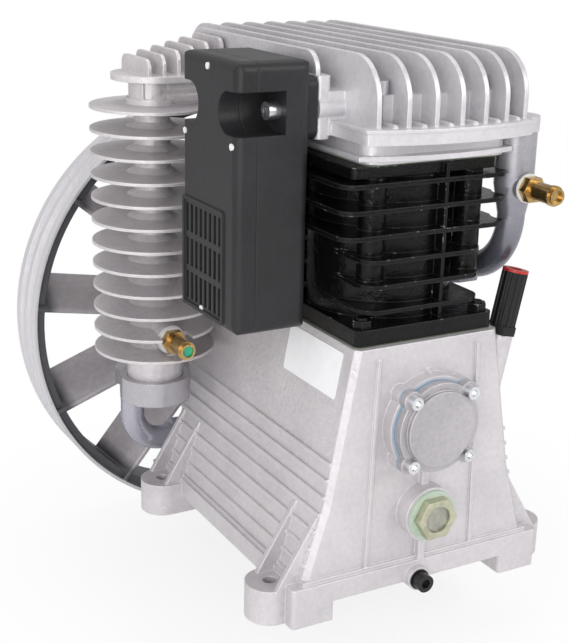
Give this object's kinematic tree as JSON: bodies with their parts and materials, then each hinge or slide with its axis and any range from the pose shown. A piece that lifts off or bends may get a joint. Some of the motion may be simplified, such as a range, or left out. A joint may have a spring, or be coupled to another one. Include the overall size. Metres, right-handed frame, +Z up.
{
  "type": "air compressor pump head",
  "caption": "Two-stage reciprocating air compressor pump with finned head and cylinder block, intercooler column, intake filter box and fan flywheel.",
  "frame": {"origin": "middle of the four foot holes, on the plane that the feet stand on", "axes": "+Z up, +Y along the crankshaft toward the flywheel, +X to the right as seen from the bearing cover"},
  "size_m": [0.4, 0.4001, 0.4669],
  "materials": {
    "crankcase": "satin sand-cast",
    "deck_gasket": "matte",
    "cylinder_block": "gloss black paint on cast iron",
    "block_nuts": "zinc plated",
    "lower_gasket": "matte",
    "suction_reeds": "polished spring steel",
    "valve_plate": "satin sand-cast",
    "discharge_reeds": "polished spring steel",
    "head_gasket": "matte",
    "cylinder_head": "satin sand-cast",
    "head_bolts": "zinc plated",
    "intercooler": "satin sand-cast",
    "intercooler_gasket": "matte",
    "intercooler_bolts": "zinc plated",
    "lower_elbow": "gloss blue-grey enamel",
    "cross_pipe": "gloss blue-grey enamel",
    "pipe_nuts": "machined",
    "side_duct": "satin",
    "duct_seal": "matte",
    "interstage_valve": "machined, green paint in the recess",
    "interstage_valve_seal": "matte",
    "discharge_valve": "machined",
    "discharge_valve_seal": "matte",
    "filter_base": "moulded",
    "filter_cover": "moulded",
    "filter_element": "pleated paper",
    "filter_gasket": "matte",
    "filter_screws": "zinc plated",
    "filter_clips": "white",
    "bearing_cover": "satin die-cast",
    "cover_gasket": "light blue sheet",
    "cover_screws": "zinc plated",
    "sight_glass": "yellow-green zinc plate",
    "sight_lens": "clear",
    "sight_washer": "pale green",
    "drain_plug": "black oxide",
    "drain_washer": "copper",
    "filler_plug": "ribbed",
    "filler_ring": "red",
    "rear_housing": "satin sand-cast",
    "housing_screws": "zinc plated",
    "oil_seal": "matte",
    "outer_races": "ground",
    "inner_races": "ground",
    "bearing_balls": "polished",
    "crank_front": "ground",
    "crank_middle": "ground",
    "crank_rear": "ground",
    "flywheel": "silver paint on cast iron",
    "shaft_key": "plain",
    "flywheel_bolt": "zinc plated",
    "low_piston": "machined",
    "low_rings": "ground",
    "low_rod": "cast",
    "low_pins": "ground",
    "high_piston": "machined",
    "high_rings": "ground",
    "high_rod": "cast",
    "high_pins": "ground"
  },
  "bodies": {
    "housing": {"crankcase": "crankcase", "deck_gasket": "deck_gasket", "cylinder_block": "cylinder_block", "block_nuts": "block_nuts", "lower_gasket": "lower_gasket", "suction_reeds": "suction_reeds", "valve_plate": "valve_plate", "discharge_reeds": "discharge_reeds", "head_gasket": "head_gasket", "cylinder_head": "cylinder_head", "head_bolts": "head_bolts", "intercooler": "intercooler", "intercooler_gasket": "intercooler_gasket", "intercooler_bolts": "intercooler_bolts", "lower_elbow": "lower_elbow", "cross_pipe": "cross_pipe", "pipe_nuts": "pipe_nuts", "side_duct": "side_duct", "duct_seal": "duct_seal", "interstage_valve": "interstage_valve", "interstage_valve_seal": "interstage_valve_seal", "discharge_valve": "discharge_valve", "discharge_valve_seal": "discharge_valve_seal", "filter_base": "filter_base", "filter_cover": "filter_cover", "filter_element": "filter_element", "filter_gasket": "filter_gasket", "filter_screws": "filter_screws", "filter_clips": "filter_clips", "bearing_cover": "bearing_cover", "cover_gasket": "cover_gasket", "cover_screws": "cover_screws", "sight_glass": "sight_glass", "sight_lens": "sight_lens", "sight_washer": "sight_washer", "drain_plug": "drain_plug", "drain_washer": "drain_washer", "rear_housing": "rear_housing", "housing_screws": "housing_screws", "oil_seal": "oil_seal", "outer_races": "outer_races"},
    "crank": {"crank_front": "crank_front", "crank_middle": "crank_middle", "crank_rear": "crank_rear", "flywheel": "flywheel", "shaft_key": "shaft_key", "flywheel_bolt": "flywheel_bolt", "inner_races": "inner_races", "bearing_balls": "bearing_balls"},
    "low_pressure_piston": {"low_piston": "low_piston", "low_rings": "low_rings", "low_rod": "low_rod", "low_pins": "low_pins"},
    "high_pressure_piston": {"high_piston": "high_piston", "high_rings": "high_rings", "high_rod": "high_rod", "high_pins": "high_pins"},
    "filler": {"filler_plug": "filler_plug", "filler_ring": "filler_ring"}
  },
  "joints": [
    {"name": "crank_spin", "type": "hinge", "parent": "housing", "child": "crank", "pos_m": [0, 0, 0.1465], "axis": [0, 1, 0], "continuous": true},
    {"name": "low_pressure_stroke", "type": "slide", "parent": "housing", "child": "low_pressure_piston", "axis": [0, 0, 1], "range_m": [-0.06, 0]},
    {"name": "high_pressure_stroke", "type": "slide", "parent": "housing", "child": "high_pressure_piston", "axis": [0, 0, 1], "range_m": [0, 0.06]},
    {"name": "filler_turn", "type": "hinge", "parent": "housing", "child": "filler", "pos_m": [0.075, -0.113, 0.2], "axis": [0.2079, 0, 0.9781], "continuous": true}
  ],
  "couplings": [
    {"joint": "high_pressure_stroke", "follows": "low_pressure_stroke", "ratio": -1}
  ]
}
